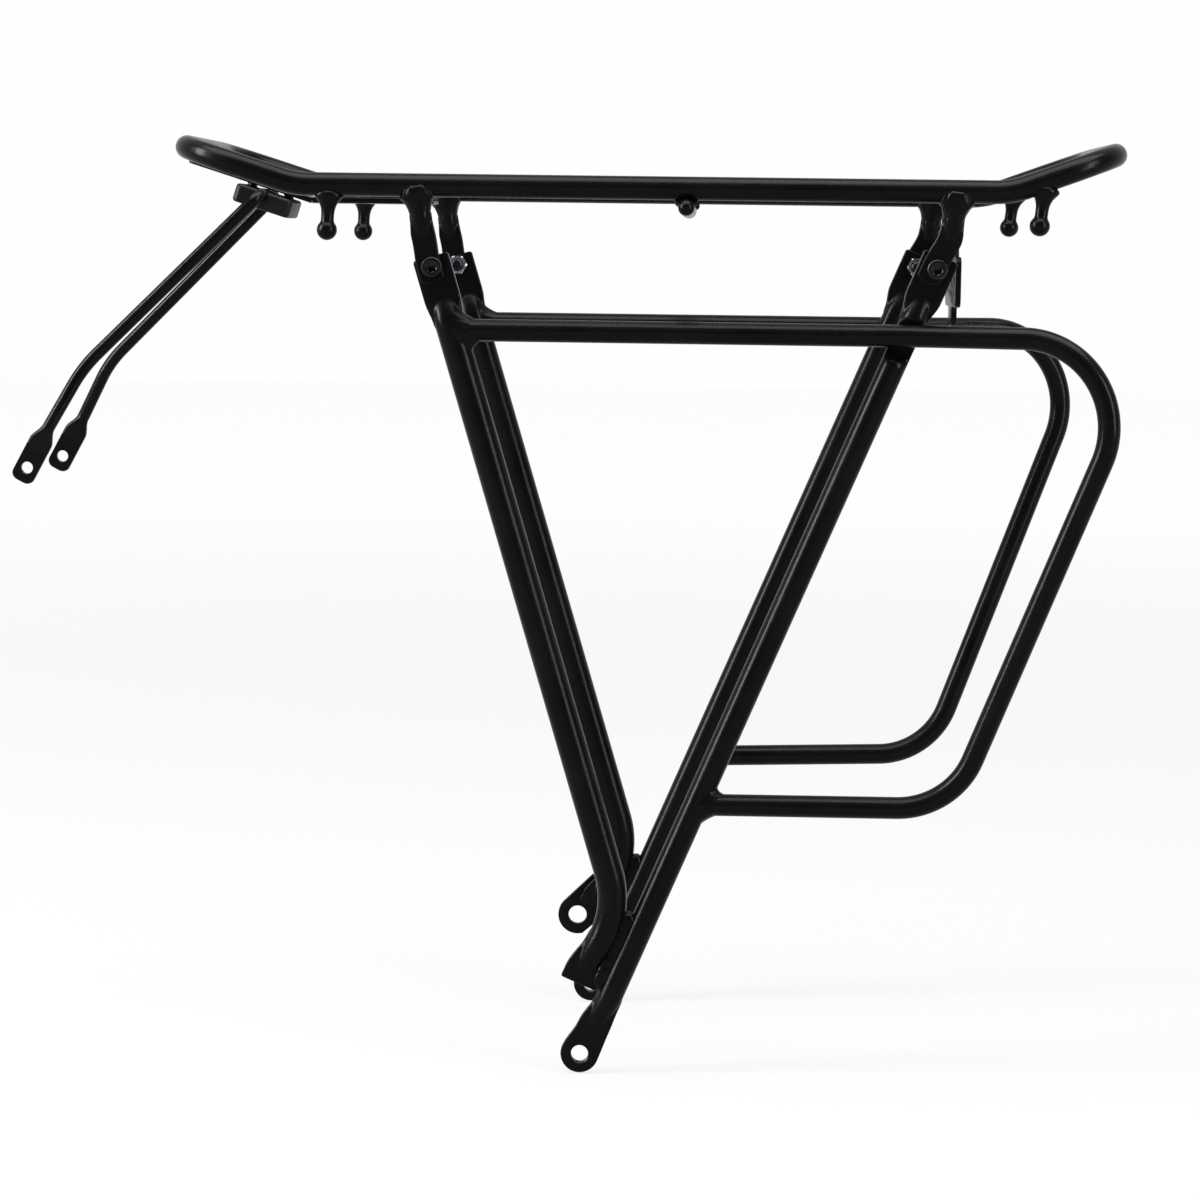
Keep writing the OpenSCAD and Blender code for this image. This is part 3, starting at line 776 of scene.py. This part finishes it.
def rear_leg(name, side):
    """The rear leg: drilled foot, round tube crimped behind the hoop's rail,
    and a pressed tab above."""
    above, flat_len, ramp = 6.0, 12.0, 12.0
    foot_r, foot_flat, foot_ramp = 8.3, 12.0, 15.0
    foot_c = -REAR_X0 * math.cos(REAR_LEAN)
    foot_s = -REAR_X0 * math.sin(REAR_LEAN)
    reach = REAR_BOLT[1] / math.cos(REAR_LEAN)
    base = Vector((REAR_X0, -LEG_Y, 0))
    first = foot_s - foot_r + 0.02
    path = bent_path([base + REAR_UP * first, base + REAR_UP * (reach + above)], (0, 0), step=1.5)
    length = path_length(path)
    fine = [0.06, 0.15, 0.3, 0.45, 0.8, 1.2]
    arc = [foot_r * (1 - math.cos(math.radians(a))) for a in range(6, 90, 6)]
    path = resample(path, arc + [length - s for s in fine])
    crossing = HOOP_TOP_Z / math.cos(REAR_LEAN)

    def section(s):
        z = s + first
        down = length - s
        t = FLAT_T / 2
        if z < 120:
            if s < 0.5:
                t -= 0.5 - math.sqrt(max(0.25 - (0.5 - s) ** 2, 0))
            if z < foot_s:
                w = math.sqrt(max(foot_r**2 - (foot_s - z) ** 2, 0.01))
                return pressed_ring(REAR_R, w, t, 0, shift=foot_c)
            f = smooth((z - foot_s) / (foot_flat - foot_s))
            u = (z - foot_flat) / foot_ramp
            w = foot_r + (7.1 - foot_r) * f
            mid = foot_c + (-1.1 - foot_c) * f
            return pressed_ring(REAR_R, w, t, u, shift=mid * (1 - smooth(u)))
        u = (down - above - flat_len - 0.5) / ramp
        w, t = rounded_end(FLAT_W / 2, t, down, 1.3)
        gap = max(z - crossing - 3.0, crossing - 8.0 - z, 0.0)
        return pressed_ring(REAR_R, w, t, u, dent=1 - smooth(gap / 5.0))

    shell = Shell()
    sweep(shell, path, section, Y)
    obj = make_object(name + "_tube", shell, -side)
    drill(obj, (0, -LEG_Y * -side, 0), Y, 3.75, FLAT_T, 0.5)
    drill(obj, (REAR_BOLT[0], -LEG_Y * -side, REAR_BOLT[1]), Y, 2.7, FLAT_T, 0.2)
    finish_piece(obj, FRAME_COAT, "rack", "frame_coat", name)


def pannier_hoop(name, side):
    shell = Shell()
    points = [Vector(p) for p in HOOP_PATH]
    ahead = (points[1] - points[0]).normalized()
    back = (points[3] - points[4]).normalized()
    points[0] = points[0] + ahead * (FRONT_R - 2.5)
    points[4] = points[4] + back * (REAR_R - 2.5)
    sweep(shell, bent_path(points, HOOP_BENDS), round_section(HOOP_R), Y, n=56)
    collar(
        shell,
        HOOP_PATH[0],
        ahead,
        HOOP_R,
        (FRONT_BOLT[0], -LEG_Y, FRONT_BOLT[1]),
        FRONT_UP,
        FRONT_R,
        leg=5.5,
        spread=4.6,
        fill=1.5,
        seed=1,
    )
    collar(
        shell,
        HOOP_PATH[4],
        back,
        HOOP_R,
        HOOP_PATH[4],
        REAR_UP,
        REAR_R,
        leg=4.6,
        spread=3.8,
        fill=1.4,
        seed=2,
    )
    obj = make_object(name + "_tube", shell, -side)
    finish_piece(obj, FRAME_COAT, "rack", "frame_coat", name)


def plate(name, outline, holes, thickness, place, bevel=0.35, resolution=3):
    """A flat plate with rounded edges: an outline and holes in its own plane,
    set in the frame by a matrix in millimetres."""
    curve = bpy.data.curves.new(name, "CURVE")
    curve.dimensions = "2D"
    curve.fill_mode = "BOTH"
    curve.extrude = (thickness / 2 - bevel) * MM
    curve.bevel_depth = bevel * MM
    curve.bevel_resolution = resolution
    curve.offset = -bevel * MM
    for points in [outline] + holes:
        spline = curve.splines.new("POLY")
        spline.points.add(len(points) - 1)
        spline.use_cyclic_u = True
        for p, (x, y) in zip(spline.points, points):
            p.co = (x * MM, y * MM, 0, 1)
    temp = bpy.data.objects.new(name, curve)
    bpy.context.scene.collection.objects.link(temp)
    graph = bpy.context.evaluated_depsgraph_get()
    mesh = bpy.data.meshes.new_from_object(temp.evaluated_get(graph))
    bpy.data.objects.remove(temp)
    bpy.data.curves.remove(curve)
    move = place.copy()
    move.translation = place.translation * MM
    mesh.transform(move)
    bm = bmesh.new()
    bm.from_mesh(mesh)
    bmesh.ops.remove_doubles(bm, verts=bm.verts, dist=1e-6)
    bmesh.ops.recalc_face_normals(bm, faces=bm.faces)
    bm.to_mesh(mesh)
    bm.free()
    mesh.name = name
    mesh.shade_smooth()
    mesh.set_sharp_from_angle(angle=math.radians(32))
    obj = bpy.data.objects.new(name, mesh)
    bpy.context.scene.collection.objects.link(obj)
    return obj


def circle_points(cx, cy, r, n=48, start=0.0, turn=360.0):
    return [
        (
            cx + r * math.cos(math.radians(start + turn * k / n)),
            cy + r * math.sin(math.radians(start + turn * k / n)),
        )
        for k in range(n)
    ]


def rounded_polygon(corners, n=7):
    """Corners (x, y, radius) joined by straight edges and arcs."""
    out = []
    count = len(corners)
    for i, (x, y, r) in enumerate(corners):
        p = Vector((x, y))
        a = Vector(corners[i - 1][:2])
        b = Vector(corners[(i + 1) % count][:2])
        u, v = (a - p).normalized(), (b - p).normalized()
        if r <= 0:
            out.append((x, y))
            continue
        half = u.angle(v) / 2
        cut = r / math.tan(half)
        start, end = p + u * cut, p + v * cut
        centre = p + (u + v).normalized() * (r / math.sin(half))
        s, e = start - centre, end - centre
        turn = math.atan2(s.x * e.y - s.y * e.x, s.dot(e))
        for k in range(n + 1):
            t = turn * k / n
            c, d = math.cos(t), math.sin(t)
            out.append((centre.x + s.x * c - s.y * d, centre.y + s.x * d + s.y * c))
    return out


def add_shell(obj, shell, side=1):
    """Adds a shell's faces to an object's mesh as separate closed lumps."""
    extra = make_object("extra", shell, side)
    bm = bmesh.new()
    bm.from_mesh(obj.data)
    bm.from_mesh(extra.data)
    bm.to_mesh(obj.data)
    bm.free()
    bpy.data.objects.remove(extra)
    obj.data.shade_smooth()
    obj.data.set_sharp_from_angle(angle=math.radians(34))


def lower_tab():
    """A drilled tab on the foot of the right front leg."""
    y0 = LEG_Y + FLAT_T / 2
    hole = (-7.0, 32.4)
    r = 9.2
    outline = circle_points(hole[0], hole[1], r, 34, 135, 155)
    outline += [(3.0, 30.0), (6.0, 46.0), (0.0, 52.0)]
    place = Matrix(((1, 0, 0, 0), (0, 0, -1, y0 + 1.5), (0, 1, 0, 0), (0, 0, 0, 1)))
    obj = plate("lower_tab_plate", outline, [circle_points(*hole, 4.3)], 3.0, place, 0.4)
    shell = Shell()
    bead(shell, [(1.6, y0 + 0.6, 50.4), (5.6, y0 + 0.6, 46.6)], 1.3, seed=5, ripple=0.03)
    add_shell(obj, shell)
    finish_piece(obj, FRAME_COAT, "rack", "frame_coat", "lower_tab")


# ---------------------------------------------------------------- fasteners


def hex_radius(angle, flat):
    """Radius of a hexagon at an angle, half the flat-to-flat distance given."""
    a = (angle + math.pi / 6) % (math.pi / 3) - math.pi / 6
    return flat / math.cos(a)


def socket_head(shell, origin, axis, r, height, socket, socket_depth, knurl=True):
    """A socket cap head standing on origin along axis."""
    axis = Vector(axis).normalized()
    u = axis.orthogonal().normalized()
    v = axis.cross(u)
    n = 144

    def ring(h, radius):
        out = []
        for k in range(n):
            a = 2 * math.pi * k / n
            rr = radius(a) if callable(radius) else radius
            out.append(Vector(origin) + axis * h + (u * math.cos(a) + v * math.sin(a)) * rr)
        return out

    def knurled(a):
        return r - 0.13 - 0.11 * math.cos(a * 36)

    rings = [ring(0, r - 0.5), ring(0.12, r - 0.12), ring(0.3, r - 0.05)]
    if knurl:
        rings += [ring(0.55, knurled), ring(height - 1.15, knurled)]
        rings += [ring(height - 0.95, r - 0.03)]
    rings += [
        ring(height - 0.7, r),
        ring(height - 0.35, r - 0.1),
        ring(height - 0.1, r - 0.36),
        ring(height, r - 0.75),
        ring(height, socket * 1.3),
        ring(height - 0.05, lambda a: max(hex_radius(a, socket), socket * 1.16)),
        ring(height - 0.3, lambda a: hex_radius(a, socket)),
        ring(height - socket_depth, lambda a: hex_radius(a, socket)),
        ring(height - socket_depth - 0.5, lambda a: socket * 0.45),
    ]
    shell.rings(rings)


def thread(shell, origin, axis, r, start, end, pitch=0.8):
    """A screw's threaded shank from start to end along axis."""
    axis = Vector(axis).normalized()
    u = axis.orthogonal().normalized()
    v = axis.cross(u)
    n = 40
    count = int((end - start) / 0.13)
    rings = []
    for i in range(count + 1):
        h = start + (end - start) * i / count
        ring = []
        for k in range(n):
            a = 2 * math.pi * k / n
            wave = abs(((h / pitch - k / n) % 1) * 2 - 1)
            depth = 0.42 * smooth(wave * 1.25 - 0.1)
            chamfer = max(0.0, 0.55 - (end - h)) * 0.9
            rr = r - depth - chamfer
            ring.append(Vector(origin) + axis * h + (u * math.cos(a) + v * math.sin(a)) * rr)
        rings.append(ring)
    shell.rings(rings)


def hex_nut(shell, origin, axis, flat, height, bore):
    axis = Vector(axis).normalized()
    u = Z.copy()
    v = axis.cross(u)
    n = 96
    round_r = flat * 1.02

    def ring(h, radius):
        out = []
        for k in range(n):
            a = 2 * math.pi * (k + 0.5) / n
            rr = radius(a)
            hh = h(a) if callable(h) else h
            out.append(Vector(origin) + axis * hh + (u * math.cos(a) + v * math.sin(a)) * rr)
        return out

    def edge(a):
        return hex_radius(a, flat)

    def drop(a):
        return max(edge(a) - round_r, 0) * 0.6

    rings = [
        ring(0, lambda a: bore),
        ring(0, lambda a: bore + 0.5),
        ring(0, lambda a: min(edge(a), round_r)),
        ring(drop, edge),
        ring(lambda a: height - drop(a), edge),
        ring(height, lambda a: min(edge(a), round_r) - 0.05),
        ring(height, lambda a: bore + 0.5),
        ring(height - 0.5, lambda a: bore),
    ]
    shell.rings(rings, closed=True)


def leg_fasteners():
    heads, nuts = Shell(), Shell()
    for side in (-1, 1):
        for bolt in (FRONT_BOLT, REAR_BOLT):
            face = Vector((bolt[0], side * (LEG_Y + FLAT_T * 1.5), bolt[1]))
            out = Vector((0, side, 0))
            socket_head(heads, face, out, 4.25, 5.0, 2.0, 2.6)
            thread(heads, face, -out, 2.5, -0.5, 14.0)
            nut = Vector((bolt[0], side * (LEG_Y - FLAT_T / 2), bolt[1]))
            hex_nut(nuts, nut, -out, 4.0, 4.0, 2.45)
    obj = make_object("leg_screw_set", heads, sharp=28)
    finish_piece(obj, SCREW_STEEL, "rack", "black_screw", "leg_screws")
    obj = make_object("leg_nut_set", nuts, sharp=20)
    finish_piece(obj, ZINC, "rack", "zinc", "leg_nuts")


# ---------------------------------------------------------- rear light plate


def light_plate():
    t = 2.5
    x = RUNG_X[2] - RUNG_R - t / 2 + 0.5
    low, wide_low, wide_top, top = 316.0, 324.5, 346.5, RUNG_Z + 1.0
    corners = [
        (-10, low, 3),
        (10, low, 3),
        (10, wide_low, 2.5),
        (33, wide_low, 4),
        (33, wide_top, 4),
        (16, wide_top, 3),
        (16, top, 1),
        (-16, top, 1),
        (-16, wide_top, 3),
        (-33, wide_top, 4),
        (-33, wide_low, 4),
        (-10, wide_low, 2.5),
    ]
    holes = [circle_points(y, (wide_low + wide_top) / 2, 2.6) for y in (-25, 25)]
    place = Matrix(((0, 0, 1, x), (1, 0, 0, 0), (0, 1, 0, 0), (0, 0, 0, 1)))
    obj = plate("light_plate_sheet", rounded_polygon(corners), holes, t, place, 0.45)
    shell = Shell()
    for z in (RUNG_Z + 1.6, RUNG_Z - 3.0):
        for a, b in ((-14, -4), (4, 14)):
            bead(shell, [(x + 1.2, a, z), (x + 1.2, b, z)], 1.4, seed=z + a)
    add_shell(obj, shell)
    finish_piece(obj, FRAME_COAT, "rack", "frame_coat", "light_plate")


# ------------------------------------------------------ tongue, clamp, stays


def slope_point(u, w, y=0.0):
    return Vector(
        (
            FRONT_BEND_X - u * math.cos(FRONT_RISE) + w * math.sin(FRONT_RISE),
            y,
            DECK_Z + u * math.sin(FRONT_RISE) + w * math.cos(FRONT_RISE),
        )
    )


SLOPE_U = Vector((-math.cos(FRONT_RISE), 0, math.sin(FRONT_RISE)))
SLOPE_W = Vector((math.sin(FRONT_RISE), 0, math.cos(FRONT_RISE)))


def slope_matrix(w):
    """Local X along the slope, local Y across, local Z out of the slope."""
    o = slope_point(0, w)
    m = Matrix.Identity(4)
    across = SLOPE_W.cross(SLOPE_U)
    for i in range(3):
        m[i][0], m[i][1], m[i][2], m[i][3] = SLOPE_U[i], across[i], SLOPE_W[i], o[i]
    return m


def stay_tongue():
    """A slotted strap under the nose, bent up from the flat deck."""
    t = 2.5
    nose = (FRONT_BEND_X - FRONT_END_X) / math.cos(FRONT_RISE) + 3.2
    slot_half, slot_round = 2.7, 2.69
    slot = rounded_polygon([
        (2.5, -slot_half, slot_round),
        (41.7, -slot_half, slot_round),
        (41.7, slot_half, slot_round),
        (2.5, slot_half, slot_round),
    ])
    outline = rounded_polygon([(-2, -15, 0), (nose, -15, 3), (nose, 15, 3), (-2, 15, 0)])
    sloping = plate("stay_tongue_strap", outline, [slot], t, slope_matrix(-5.95), 0.4)
    low = DECK_Z - 7.0
    flat = rounded_polygon([(-71, -15, 3), (-71, 15, 3), (-124.5, 15, 0), (-124.5, -15, 0)])
    level = Matrix(((1, 0, 0, 0), (0, 1, 0, 0), (0, 0, 1, low + 0.95), (0, 0, 0, 1)))
    strap = plate("strap", flat, [], t, level, 0.4)
    shell = Shell()
    for y0, y1 in ((-13, -4), (4, 13)):
        bead(shell, [(-76.2, y0, 370.4), (-76.2, y1, 370.4)], 1.5, seed=y0)
        p = slope_point(nose - 8.6, -4.3, y0)
        q = slope_point(nose - 8.6, -4.3, y1)
        bead(shell, [p, q], 1.6, seed=y1)
    bm = bmesh.new()
    bm.from_mesh(sloping.data)
    bm.from_mesh(strap.data)
    bm.to_mesh(sloping.data)
    bm.free()
    bpy.data.objects.remove(strap)
    add_shell(sloping, shell)
    finish_piece(sloping, FRAME_COAT, "rack", "frame_coat", "stay_tongue")


def stay_clamp():
    """The block that grips the stays' ends under the tongue."""
    length, width, height = 26.2, 36.0, 8.2
    u, top = 18.5, -8.7
    outline = rounded_polygon(
        [
            (u - length / 2, -width / 2, 3.0),
            (u + length / 2, -width / 2, 3.0),
            (u + length / 2, width / 2, 3.0),
            (u - length / 2, width / 2, 3.0),
        ]
    )
    holes = [circle_points(u + d, 0, 2.5) for d in (-8.5, 8.5)]
    obj = plate("stay_clamp_block", outline, holes, height, slope_matrix(top - height / 2), 1.4, 6)
    groove = Shell()
    path = bent_path([PIVOT - Y * 30, PIVOT + Y * 30], (0, 0), step=10)
    sweep(groove, path, round_section(STAY_R + 0.05), X, n=48)
    tool = make_object("cutter", groove)
    cut = obj.modifiers.new("groove", "BOOLEAN")
    cut.solver = "EXACT"
    cut.object = tool
    apply_modifiers(obj)
    bpy.data.objects.remove(tool)
    finish_piece(obj, CLAMP_COAT, "clamp", "clamp_coat", "stay_clamp")


def clamp_screws():
    shell = Shell()
    for u in (10.0, 27.0):
        foot = slope_point(u, -4.55)
        socket_head(shell, foot, SLOPE_W, 4.25, 3.0, 1.6, 1.8, knurl=False)
        thread(shell, slope_point(u, -16.4), SLOPE_W, 2.45, 0.0, 12.2)
    obj = make_object("clamp_screw_set", shell, sharp=28)
    # The clamp screws take the darker zinc copy, so their shade is painted into the colour.
    finish_piece(obj, PAINTED_SHADE_ZINC, "clamp", "zinc", "clamp_screws")


def stay(name, body, side):
    """A bent rod from the clamp's groove to a pressed, squared eye."""
    half, t, flat_len, ramp = 5.2, 1.5, 14.5, 6.0
    below, corner = 6.7, 3.4
    eye = STAY_EYE
    fall = Vector((eye.x - STAY_KINK.x, 0, eye.z - STAY_KINK.z)).normalized()
    last = eye - fall * (flat_len + ramp)
    end = eye + fall * (below - 0.02)
    points = [end, last, STAY_KINK, PIVOT - Y * STAY_TOP_Y, PIVOT - Y * 2]
    path = bent_path(points, (0, 12, 50, 6, 0), step=1.0, turn_step=2)
    length = path_length(path)
    arc = [corner * (1 - math.cos(math.radians(a))) for a in range(6, 90, 7)]
    path = resample(path, arc + [length - 0.1, length - 0.4])

    def section(s):
        d = s - below
        u = smooth((d - flat_len + 2.0) / (ramp + 1.5))
        v = ease((d - flat_len + 5.0) / (ramp + 5.0))
        w = half + (STAY_R - half) * u
        face = t + (STAY_R - t) * v
        if s < corner:
            w -= corner - math.sqrt(max(corner**2 - (corner - s) ** 2, 0))
        if s < 0.4:
            face -= 0.4 - math.sqrt(max(0.16 - (0.4 - s) ** 2, 0))
        end_gap = length - s
        if end_gap < 0.4:
            w -= 0.4 - end_gap
            face -= 0.4 - end_gap
        return w, face, min(face, 0.8 + (face - 0.8) * v), 0, 0

    shell = Shell()
    sweep(shell, path, section, Y, n=48)
    obj = make_object(name + "_rod", shell, -side)
    drill(obj, (eye.x, eye.y * -side, eye.z), Y, 2.6, t * 2, 0.35)
    finish_piece(obj, STAY_COAT, body, "stay_coat", name)


# ---------------------------------------------------------------- the rack


def build_rack():
    deck_loop()
    inner_rung("front_rung", RUNG_X[0])
    middle_rung()
    inner_rung("rear_rung", RUNG_X[2])
    for side, word in ((-1, "left"), (1, "right")):
        peg(word + "_front_peg", -110.3, 3, False, side)
        peg(word + "_rear_peg", 192.2, 7, True, side)
        stub(word + "_front_stub", FRONT_BOLT, -FRONT_LEAN, math.radians(-8), side)
        stub(word + "_rear_stub", REAR_BOLT, REAR_LEAN, math.radians(7), side)
        front_leg(word + "_front_leg", side)
        rear_leg(word + "_rear_leg", side)
        pannier_hoop(word + "_pannier_hoop", side)
        stay(word + "_stay", word + "_stay", side)
    lower_tab()
    leg_fasteners()
    light_plate()
    stay_tongue()
    stay_clamp()
    clamp_screws()


# ------------------------------------------------------------------- studio


def camera():
    """A long lens a metre and a half to the left of the rack."""
    pitch, yaw, roll = (math.radians(a) for a in (6.0344, -1.8509, 0.7211))
    ahead = Vector(
        (math.sin(yaw) * math.cos(pitch), math.cos(yaw) * math.cos(pitch), -math.sin(pitch))
    )
    right = Vector((math.cos(yaw), -math.sin(yaw), 0))
    up = right.cross(ahead)
    right_r = right * math.cos(roll) + up * math.sin(roll)
    up_r = up * math.cos(roll) - right * math.sin(roll)
    data = bpy.data.cameras.new("camera")
    data.sensor_width = 36
    data.lens = 102
    data.clip_start, data.clip_end = 0.05, 60
    cam = bpy.data.objects.new("camera", data)
    bpy.context.scene.collection.objects.link(cam)
    place = Matrix.Identity(4)
    for i in range(3):
        place[i][0], place[i][1], place[i][2] = right_r[i], up_r[i], -ahead[i]
    place.translation = Vector((0.053291, -1.520745, 0.351690))
    cam.matrix_world = place
    bpy.context.scene.camera = cam


def area_light(name, place, target, width, height, power, colour):
    data = bpy.data.lights.new(name, "AREA")
    data.shape = "RECTANGLE"
    data.size, data.size_y = width, height
    data.energy = power
    data.color = colour
    light = bpy.data.objects.new(name, data)
    bpy.context.scene.collection.objects.link(light)
    light.location = place
    aim = Vector(target) - Vector(place)
    light.rotation_euler = aim.to_track_quat("-Z", "Y").to_euler()


def floor():
    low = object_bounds()[0].z - 0.0005
    size = 14.0
    shell = Shell()
    steps = 12
    for i in range(steps + 1):
        for j in range(steps + 1):
            shell.verts.append(
                Vector((size * (i / steps - 0.5), size * (j / steps - 0.5), low)) / MM
            )
    for i in range(steps):
        for j in range(steps):
            a = i * (steps + 1) + j
            shell.faces.append((a, a + steps + 1, a + steps + 2, a + 1))
    obj = make_object("floor", shell)
    if obj.data.polygons[0].normal.z < 0:
        obj.data.flip_normals()
    m = Nodes("floor_paper")
    shader = m.shader
    shader.inputs["Base Color"].default_value = (0.058, 0.058, 0.058, 1)
    shader.inputs["Roughness"].default_value = 0.9
    shader.inputs["Specular IOR Level"].default_value = 0.0
    shader.inputs["Emission Color"].default_value = (1, 1, 1, 1)
    far = m.add("ShaderNodeVectorMath", operation="LENGTH")
    m.link(m.coords.outputs["Object"], far.inputs[0])
    glow = m.add("ShaderNodeMapRange", interpolation_type="SMOOTHSTEP")
    glow.inputs["From Min"].default_value = 0.5
    glow.inputs["From Max"].default_value = 3.5
    glow.inputs["To Min"].default_value = 0.8
    glow.inputs["To Max"].default_value = 0.95
    m.link(far.outputs["Value"], glow.inputs["Value"])
    m.link(glow.outputs["Result"], shader.inputs["Emission Strength"])
    obj.data.materials.append(m.material)
    obj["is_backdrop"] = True


def studio():
    """White surroundings, bright behind and above, darker in front."""
    world = bpy.data.worlds.new("studio")
    bpy.context.scene.world = world
    world.use_nodes = True
    tree = world.node_tree
    back = tree.nodes["Background"]
    coords = tree.nodes.new("ShaderNodeTexCoord")
    split = tree.nodes.new("ShaderNodeSeparateXYZ")
    tree.links.new(coords.outputs["Generated"], split.inputs[0])
    ramp = tree.nodes.new("ShaderNodeValToRGB")
    spread = tree.nodes.new("ShaderNodeMapRange")
    spread.inputs["From Min"].default_value = -1
    tree.links.new(split.outputs["Y"], spread.inputs["Value"])
    tree.links.new(spread.outputs["Result"], ramp.inputs["Fac"])
    stops = ramp.color_ramp.elements
    stops[0].position, stops[0].color = 0.42, (0.05, 0.05, 0.053, 1)
    stops[1].position, stops[1].color = 0.68, (1.0, 1.0, 1.0, 1)
    path = tree.nodes.new("ShaderNodeLightPath")
    mix = tree.nodes.new("ShaderNodeMix")
    mix.data_type = "RGBA"
    tree.links.new(path.outputs["Is Camera Ray"], mix.inputs["Factor"])
    tree.links.new(ramp.outputs["Color"], mix.inputs["A"])
    mix.inputs["B"].default_value = (0.996, 0.996, 0.996, 1)
    tree.links.new(mix.outputs["Result"], back.inputs["Color"])
    back.inputs["Strength"].default_value = 1.0
    lilac = (0.95, 0.94, 1.0)
    area_light("top_softbox", (0.05, -0.35, 1.9), (0.05, 0, 0.3), 2.4, 1.2, 100, lilac)
    area_light("left_softbox", (-1.85, -0.55, 1.05), (0, 0, 0.25), 0.5, 1.5, 120, lilac)
    area_light("right_softbox", (1.6, -1.1, 0.8), (0, 0, 0.25), 0.4, 1.4, 40, lilac)
    scene = bpy.context.scene
    scene.view_settings.view_transform = "Standard"
    scene.view_settings.look = "None"


camera()
studio()
build_rack()
floor()
